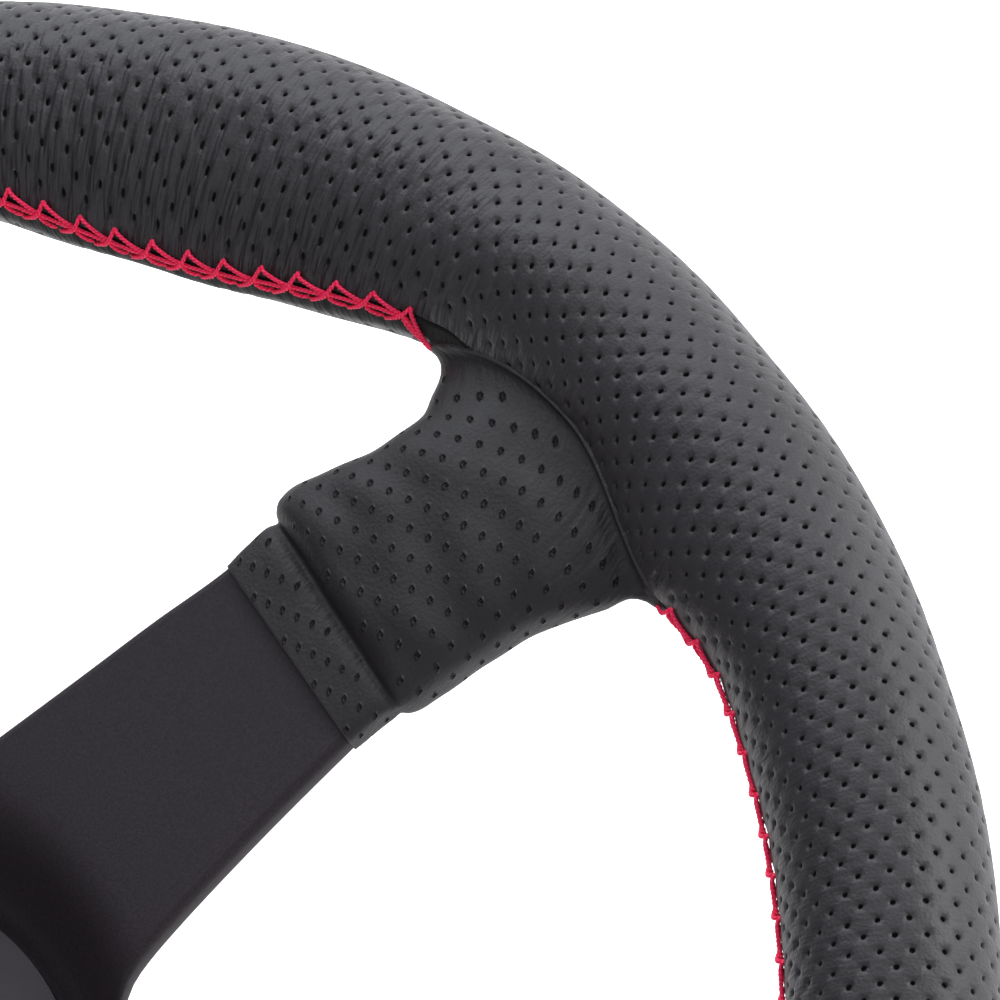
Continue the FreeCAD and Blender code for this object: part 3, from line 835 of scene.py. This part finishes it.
def boot_mesh(name):
    """Boot as a fine net with a slanting grid of punched dimples."""
    table, length = boot_surface(name)
    rows, cols = BOOT_ALONG * FINE_ALONG + 1, BOOT_AROUND * FINE_AROUND
    girth = np.linalg.norm(np.diff(table[len(table) // 2], axis=0), axis=1).sum()

    def place(a, b, depth):
        u = a / (rows - 1)
        v = b / cols + BOOT_TWIST * u * length / girth
        height = wrinkles(u, v) - depth
        return (sample(table, u, v) + sheet_normal(table, u, v) * height[..., None]).reshape(-1, 3)

    def fields(a, b, hollow_shade, raw):
        u, v = (a / (rows - 1)).ravel(), (b / cols).ravel()
        return boot_fields(u, v, (girth, length), hollow_shade, raw)

    r, c = np.meshgrid(np.arange(rows), np.arange(cols), indexing="ij")
    edge = np.where(r == 0, 0.8, np.where(r >= rows - 3, 0.35, 0.0))
    points, extra = [place(r, c, 0.0)], [fields(r, c, 0.0, edge)]
    index = np.arange(rows * cols).reshape(rows, cols)
    centre_u, centre_v = dimple_centres(rows)
    open_cell = np.zeros((rows - 1, cols), bool)
    for du in (-1, 0):
        for dv in (-1, 0):
            open_cell[centre_u + du, centre_v + dv] = True
    ahead = np.roll(index, -1, 1)
    cells = np.stack([index[:-1], ahead[:-1], ahead[1:], index[1:]], -1)
    quads = [cells[~open_cell]]
    previous = np.stack([index[centre_u + du - 1, centre_v + dv - 1] for du, dv in RING], -1)
    turn = np.array([math.atan2(dv - 1, du - 1) for du, dv in RING])
    size = NOISE.normal(1, 0.1, len(centre_u))[:, None] * BOOT_HOLE_R
    base = rows * cols
    # Painted shade: the dents' rings are coloured darker towards their floors.
    for shrink, depth, hollow_shade in ((1.0, 0.12, 0.05), (0.65, 0.32, 0.45), (0.25, 0.36, 0.6)):
        a = centre_u[:, None] + shrink * size * np.cos(turn) * (rows - 1) / length
        b = centre_v[:, None] + shrink * size * np.sin(turn) * cols / girth
        points.append(place(a, b, depth * MM))
        extra.append(fields(a, b, hollow_shade, np.zeros(a.shape)))
        ring = base + np.arange(a.size).reshape(-1, 8)
        for k in range(8):
            nxt = (k + 1) % 8
            quads.append(np.stack([previous[:, k], previous[:, nxt], ring[:, nxt], ring[:, k]], -1))
        base, previous = base + a.size, ring
    edge_fields = {key: values[index[0]] for key, values in extra[0].items()}
    turned_in, turned_fields = cut_edge(points[0][index[0]], edge_fields)
    points.append(turned_in)
    extra.append(turned_fields)
    inner = base + np.arange(cols)
    quads.append(np.stack([index[0], inner, np.roll(inner, -1), np.roll(index[0], -1)], -1))
    merged = {key: np.concatenate([f[key] for f in extra]) for key in extra[0]}
    return np.concatenate(points), [np.concatenate(quads), previous], merged


def cut_edge(points, fields):
    """Inner line of the boot's cut end, a leather's thickness inside the outer one."""
    inner = points.copy()
    height = points[:, 2] - RIM_Z
    inner[:, 2] -= np.sign(height) * np.minimum(np.abs(height), 1.05 * MM)
    inner[:, 1] -= np.sign(points[:, 1]) * 0.3 * MM
    return inner, dict(fields, raw=np.ones(len(points)))


FOLDS = [(NOISE.integers(2, 7), NOISE.integers(-5, 6), NOISE.uniform(0, TURN)) for _ in range(10)]


def wrinkles(u, v):
    """Slow dents of the hand-stretched boot, fading out towards both ends."""
    total = 0
    for along, around, phase in FOLDS:
        total = total + np.sin(TURN * (along * u + around * v) + phase)
    return 0.05 * MM * total * np.clip(u * 6, 0, 1) * np.clip((1 - u) * 6, 0, 1)


def turned_points(points, name):
    """From the three o'clock spoke's place to the named spoke's."""
    if name == "left":
        return points * np.array([-1, 1, 1])
    angle = SPOKES[name]
    c, s = math.cos(angle), math.sin(angle)
    x, y = points[:, 0], points[:, 1]
    return np.stack([c * x - s * y, s * x + c * y, points[:, 2]], -1)


def make_boots(material):
    for name in SPOKES:
        verts, faces, fields = boot_mesh(name)
        verts = turned_points(verts, name)
        if name != "left":
            faces = [block[:, ::-1] for block in faces]
        piece = make_piece("boot_" + name, verts, faces, material, "wheel", fields)
        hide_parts("spoke_boot_" + name)


# Boot sleeve: the stretch of the boot that it fills, and millimetres under the leather
SLEEVE = (0.24, 0.90)
SLEEVE_UNDER = 1.0
# Rest pads: share of the bulge, section angles in degrees, and depths of the two faces
PAD_SHARE = 0.86
PAD_ARC = (112, 248)
PAD_UNDER = 1.5 * MM
FOAM_UNDER = 1.15 * MM


def boot_padding(name, material):
    """Foam sleeve between the boot and the spoke plate."""
    table, _ = boot_surface(name)
    u, v = np.meshgrid(np.linspace(*SLEEVE, 24), np.arange(72) / 72, indexing="ij")
    outer = sample(table, u, v) - sheet_normal(table, u, v) * SLEEVE_UNDER * MM
    half_y, half_z = 12.3 * MM, PLATE_THICK / 2 + 0.1 * MM
    z = outer[..., 2] - RIM_Z
    shrink = np.maximum(np.abs(outer[..., 1]) / half_y, np.abs(z) / half_z)
    shrink = np.maximum(shrink, 1.02)
    inner = np.stack([outer[..., 0], outer[..., 1] / shrink, RIM_Z + z / shrink], -1)
    verts = np.concatenate([outer.reshape(-1, 3), inner.reshape(-1, 3)])
    rows, cols = u.shape
    index = np.arange(rows * cols).reshape(rows, cols)
    nxt = np.roll(index, -1, 1)
    shift = rows * cols
    skin = np.stack([index[:-1], nxt[:-1], nxt[1:], index[1:]], -1).reshape(-1, 4)
    ends = [np.stack([index[r], index[r] + shift, nxt[r] + shift, nxt[r]], -1) for r in (0, -1)]
    faces = np.concatenate([skin, skin[:, ::-1] + shift, ends[0], ends[1][:, ::-1]])
    if name != "left":
        faces = faces[:, ::-1]
    piece = make_piece("boot_padding_" + name, turned_points(verts, name), [faces], material,
                       "wheel")
    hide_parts("boot_pad_" + name)


def rest_padding(name, material):
    """Crescent of foam under the leather that bows the grip inwards."""
    centre = REST_ANGLE if name == "right" else math.pi - REST_ANGLE
    reach = REST_SPAN * PAD_SHARE
    theta, psi = np.meshgrid(centre + np.linspace(-reach, reach, 40),
                             np.radians(np.linspace(*PAD_ARC, 30)), indexing="ij")
    outer = grip_point(theta, psi, -PAD_UNDER)
    out, rise = np.cos(psi), np.sin(psi)
    radius = RIM_MID + (GRIP_W - FOAM_UNDER) * out
    inner = np.stack([radius * np.cos(theta), radius * np.sin(theta),
                      RIM_Z + (GRIP_D - FOAM_UNDER) * rise], -1)
    verts = np.concatenate([outer.reshape(-1, 3), inner.reshape(-1, 3)])
    rows, cols = theta.shape
    index = np.arange(rows * cols).reshape(rows, cols)
    shift = rows * cols
    skin = np.stack([index[:-1, :-1], index[1:, :-1], index[1:, 1:], index[:-1, 1:]], -1).reshape(-1, 4)
    border = np.concatenate([index[:-1, 0], index[-1, :-1], index[:0:-1, -1], index[0, :0:-1]])
    ahead = np.roll(border, -1)
    side = np.stack([border, border + shift, ahead + shift, ahead], -1)
    faces = np.concatenate([skin, skin[:, ::-1] + shift, side])
    piece = make_piece("rest_padding_" + name, verts, [faces], material, "wheel")
    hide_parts("thumb_rest_" + name)


def make_paddings(material):
    for name in SPOKES:
        boot_padding(name, material)
    for name in ("right", "left"):
        rest_padding(name, material)


# ---------------------------------------------------------------- spoke plate
SPOKE_END = 160.0 * MM
# Each spoke's upper and lower side, as (distance from the axis, half width) in millimetres
TAPERS = {
    "right": (((98.4, 17.1), (85.2, 19.0), (72.0, 20.6), (59.0, 22.3), (36.0, 25.6)),
              ((93.6, 17.1), (73.6, 17.9), (53.0, 19.6), (44.0, 20.8), (36.0, 22.2))),
    "lower": (((96.0, 17.1), (79.0, 18.5), (62.0, 20.3), (50.0, 21.7), (36.0, 23.9)),) * 2,
}
# The tip inside the rim, the same on both sides
SPOKE_TIP = ((160.0, 12.0), (125.0, 12.0), (112.0, 12.2), (106.0, 15.2), (102.0, 16.9))
HUB_R = 47.0 * MM
HUB_BLEND = 36.0 * MM
PLATE_BORE = 28.2 * MM
DISH = (43.0 * MM, 52.0 * MM)
EDGE_R = 1.3 * MM
SPOKE_MID_Z = PLATE_HIGH.z - PLATE_THICK / 2
HUB_MID_Z = PLATE_LOW.z + PLATE_THICK / 2


def dish_height(radius):
    """Middle height of the plate, with softly rounded bends."""
    soft = 2.5 * MM
    start, end = DISH
    slope = (SPOKE_MID_Z - HUB_MID_Z) / (end - start)

    def ramp(x):
        return 0.5 * (x + np.sqrt(x * x + soft * soft))

    return HUB_MID_Z + slope * (ramp(radius - start) - ramp(radius - end))


def spoke_side(taper):
    """One side of a spoke from the tip to the hub, as (x, half width)."""
    xs = np.linspace(SPOKE_END, HUB_BLEND, 70)
    knots = np.array(SPOKE_TIP + taper)[::-1]
    half = spline(knots[:, 0], knots[:, 1], xs / MM) * MM
    keep = np.hypot(xs, half) > HUB_R
    return xs[keep], half[keep]


def plate_outline():
    """Closed outline of hub and spokes, counterclockwise."""
    points, spans = [], []
    for name in sorted(SPOKES, key=SPOKES.get):
        above, below = TAPERS["lower" if name == "lower" else "right"]
        if name == "left":
            above, below = below, above
        right_x, right_half = spoke_side(below)
        left_x, left_half = spoke_side(above)
        local = np.concatenate([np.stack([right_x[::-1], -right_half[::-1]], -1),
                                np.stack([left_x, left_half], -1)])
        turn = np.arctan2(local[:, 1], local[:, 0]) + SPOKES[name]
        reach = np.hypot(local[:, 0], local[:, 1])
        spans.append((turn[0], turn[-1]))
        points.append(np.stack([reach * np.cos(turn), reach * np.sin(turn)], -1))
    outline = []
    for k, spoke in enumerate(points):
        start, end = spans[k][1], spans[(k + 1) % len(points)][0]
        end += TURN if end < start else 0
        arc = np.linspace(start, end, max(3, int((end - start) / 0.05)))[1:-1]
        outline += [spoke, np.stack([HUB_R * np.cos(arc), HUB_R * np.sin(arc)], -1)]
    return np.concatenate(outline)


def inset(outline, distance):
    """Outline moved inwards by a distance."""
    ahead = np.roll(outline, -1, 0) - np.roll(outline, 1, 0)
    ahead = unit(ahead)
    inward = np.stack([-ahead[:, 1], ahead[:, 0]], -1)
    return outline + inward * distance


def plate_mesh():
    outline = plate_outline()
    count = len(outline)
    rings = []
    for sign in (1, -1):
        for turn in np.linspace(0, math.pi / 2, 5)[:: -1 if sign > 0 else 1]:
            flat = inset(outline, EDGE_R * (1 - math.cos(turn)))
            up = sign * (PLATE_THICK / 2 - EDGE_R + EDGE_R * math.sin(turn))
            rings.append((flat, up))
    verts = []
    for flat, up in rings:
        height = dish_height(np.hypot(flat[:, 0], flat[:, 1])) + up
        verts.append(np.column_stack([flat, height]))
    quads = []
    for k in range(len(rings) - 1):
        a = np.arange(count) + k * count
        b = np.roll(np.arange(count), -1) + k * count
        quads.append(np.stack([a, a + count, b + count, b], -1))
    verts = np.concatenate(verts)
    faces = [np.concatenate(quads)]
    for flat, up in (rings[0], rings[-1]):
        points, triangles = plate_face(flat)
        height = dish_height(np.hypot(points[:, 0], points[:, 1])) + up
        if up < 0:
            triangles = triangles[:, ::-1]
        faces.append(triangles + len(verts))
        verts = np.concatenate([verts, np.column_stack([points, height])])
    return verts, faces


def plate_face(outline):
    """Triangles inside an outline and outside the bore, with points for the bends."""
    bore = np.arange(72) * TURN / 72
    ring = np.stack([PLATE_BORE * np.cos(bore), PLATE_BORE * np.sin(bore)], -1)
    inner = []
    for radius in np.concatenate([np.arange(32, 40, 4), np.arange(40, 58, 1.0), np.arange(60, 160, 6.0)]):
        steps = int(TURN * radius / 4)
        turn = np.arange(steps) * TURN / steps
        inner.append(np.stack([radius * MM * np.cos(turn), radius * MM * np.sin(turn)], -1))
    inner = np.concatenate(inner)
    inner = inner[inside_outline(inner, outline, 1.2 * MM)]
    points = np.concatenate([outline, ring, inner])
    n, m = len(outline), len(ring)
    edges = [(k, (k + 1) % n) for k in range(n)] + [(n + k, n + (k + 1) % m) for k in range(m)]
    made = geometry.delaunay_2d_cdt([Vector(p) for p in points], edges, [], 0, 1e-7)
    verts = np.array([tuple(p) for p in made[0]])
    triangles = np.array(made[2])
    middle = verts[triangles].mean(1)
    keep = inside_outline(middle, outline, 0) & (np.hypot(middle[:, 0], middle[:, 1]) > PLATE_BORE)
    triangles = triangles[keep]
    a, b, c = (verts[triangles[:, k]] for k in range(3))
    turn = (b[:, 0] - a[:, 0]) * (c[:, 1] - a[:, 1]) - (b[:, 1] - a[:, 1]) * (c[:, 0] - a[:, 0])
    triangles[turn < 0] = triangles[turn < 0][:, ::-1]
    return verts, triangles


def inside_outline(points, outline, margin):
    """True where a point is inside the closed outline, at least margin from it."""
    inside = np.zeros(len(points), bool)
    nearest = np.full(len(points), 1.0)
    for a, b in zip(outline, np.roll(outline, -1, 0)):
        crosses = (a[1] > points[:, 1]) != (b[1] > points[:, 1])
        slope = (b[0] - a[0]) / (b[1] - a[1] if b[1] != a[1] else 1e-12)
        inside ^= crosses & (points[:, 0] < a[0] + slope * (points[:, 1] - a[1]))
        nearest = np.minimum(nearest, np.hypot(points[:, 0] - a[0], points[:, 1] - a[1]))
    return inside & (nearest > margin)


def make_plate(material):
    verts, faces = plate_mesh()
    piece = make_piece("spoke_plate_pressed", verts, faces, material, "wheel")
    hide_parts("spoke_plate")


# ---------------------------------------------------------------- springs
def helix(name, radius, wire, turns, low, high, material):
    """Helical coil spring with closed ends."""
    steps = turns * 40
    share = np.linspace(0, 1, steps + 1)
    rise = np.clip((share * turns - 0.75) / (turns - 1.5), 0, 1)
    turn = share * turns * TURN
    bottom, top = low + wire, high - wire
    path = np.stack([radius * np.cos(turn), radius * np.sin(turn), bottom + (top - bottom) * rise], -1)
    verts, faces, _ = tube(path, share, 0.0, wire, 10, 0.0, 1.0)
    return make_piece(name, verts, faces, material, "wheel")


def make_springs(material):
    springs = (
        ("collar_spring", 20.2 * MM, 0.65 * MM, 6, "collar_pull", 0.048, 0.50),
        ("horn_spring", 8.0 * MM, 0.5 * MM, 5, "horn_press", 0.054, 0.52),
    )
    for node, radius, wire, turns, joint, anchor, keep in springs:
        low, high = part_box(node)
        piece = helix(node + "_coil", radius, wire, turns, low.z, high.z, material)
        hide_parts(node)
        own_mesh(piece)


# ---------------------------------------------------------------- CAD nodes that stay
def dress(node, material):
    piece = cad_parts[node]
    piece.data.materials.clear()
    piece.data.materials.append(material)


def make_finishes(foam):
    black = metal_material("black_anodised_metal", (0.045, 0.040, 0.045, 1), 0.46, 0.7)
    red = metal_material("red_anodised_metal", (0.42, 0.012, 0.020, 1), 0.30)
    steel = metal_material("turned_steel", (0.50, 0.50, 0.51, 1), 0.28)
    polished = metal_material("polished_steel_balls", (0.66, 0.66, 0.68, 1), 0.12)
    oxide = metal_material("black_oxide_steel", (0.022, 0.022, 0.024, 1), 0.38)
    brass = metal_material("contact_brass", (0.62, 0.42, 0.16, 1), 0.3)
    plastic = moulded_material("moulded_black_plastic", (0.014, 0.014, 0.015, 1), 0.42)
    horn = moulded_material("horn_push_plastic", (0.012, 0.012, 0.013, 1), 0.24, 900.0, 0.05)
    finishes = {
        black: ["column_flange", "quick_release_hub", "horn_ring"],
        red: ["release_collar"],
        steel: ["column_stub", "collar_circlip", "rim_hoop", "spoke_rivets"],
        polished: ["lock_ball_%d" % (k + 1) for k in range(6)],
        oxide: ["hub_screws"],
        brass: ["horn_contact"],
        foam: ["rim_foam"],
        plastic: ["horn_cup"],
        horn: ["horn_button"],
    }
    for material, nodes in finishes.items():
        for node in nodes:
            dress(node, material)


# ---------------------------------------------------------------- build
make_camera()
make_lights()
make_floor()
make_grip(leather_material("grip_leather", (0.018, 0.016, 0.019, 1), (0.027, 0.024, 0.029, 1),
                           0.44, 0.58, 1900.0, 0.0013, 0.42))
make_seams(thread_material())
make_boots(leather_material("boot_leather", (0.009, 0.0075, 0.0095, 1), (0.015, 0.0125, 0.016, 1),
                            0.48, 0.62, 1700.0, 0.0006, 0.34))
make_plate(powder_coat_material())
foam = moulded_material("moulded_foam", (0.03, 0.03, 0.03, 1), 0.8, 900.0)
make_paddings(foam)
make_springs(metal_material("spring_steel", (0.50, 0.50, 0.51, 1), 0.28))
make_finishes(foam)
bpy.context.scene.view_settings.view_transform = "Standard"
